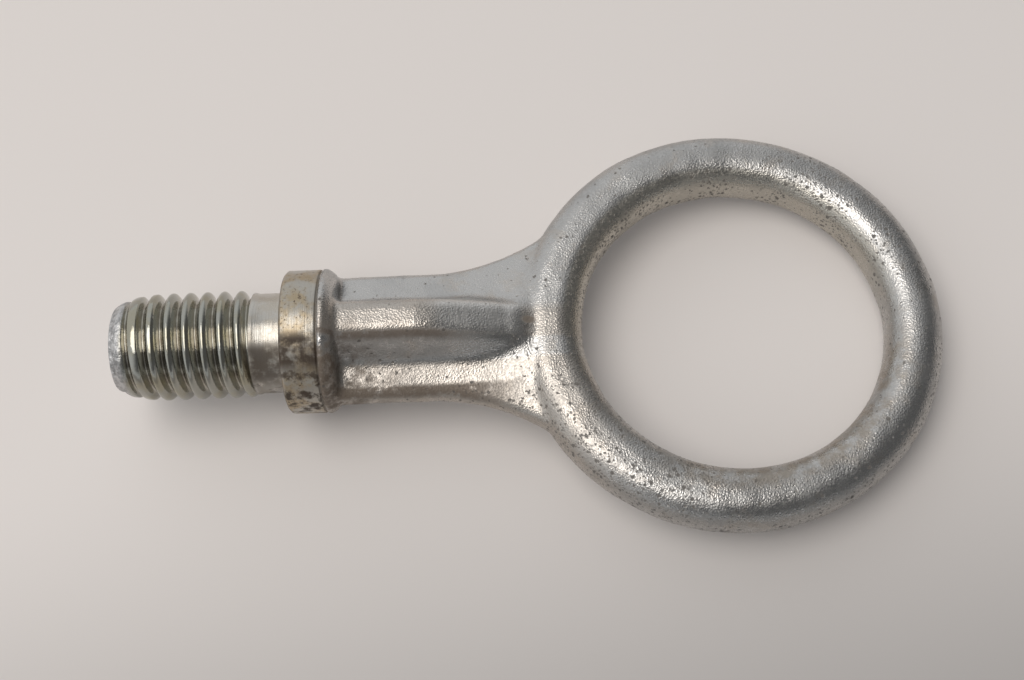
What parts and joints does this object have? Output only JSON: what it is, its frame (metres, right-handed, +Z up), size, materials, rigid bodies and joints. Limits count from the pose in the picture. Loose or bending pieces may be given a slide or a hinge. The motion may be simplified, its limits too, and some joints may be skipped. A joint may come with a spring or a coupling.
{
  "type": "screw-in tow eye",
  "caption": "Forged steel tow eye: a round ring on a ribbed shank with a turned collar and a coarse round screw thread.",
  "frame": {"origin": "on the thread axis, at the collar's seat face", "axes": "+X along the thread axis from the collar towards the ring, the ring flat in the XY plane, +Z up out of the ring's face"},
  "size_m": [0.153, 0.0786, 0.027],
  "materials": {
    "zinc_plated_steel": "zinc plated over a shot-blasted forging skin, turned on the collar and neck, worn and pitted"
  },
  "bodies": {
    "root": {"tow_eye": "zinc_plated_steel"}
  },
  "joints": []
}
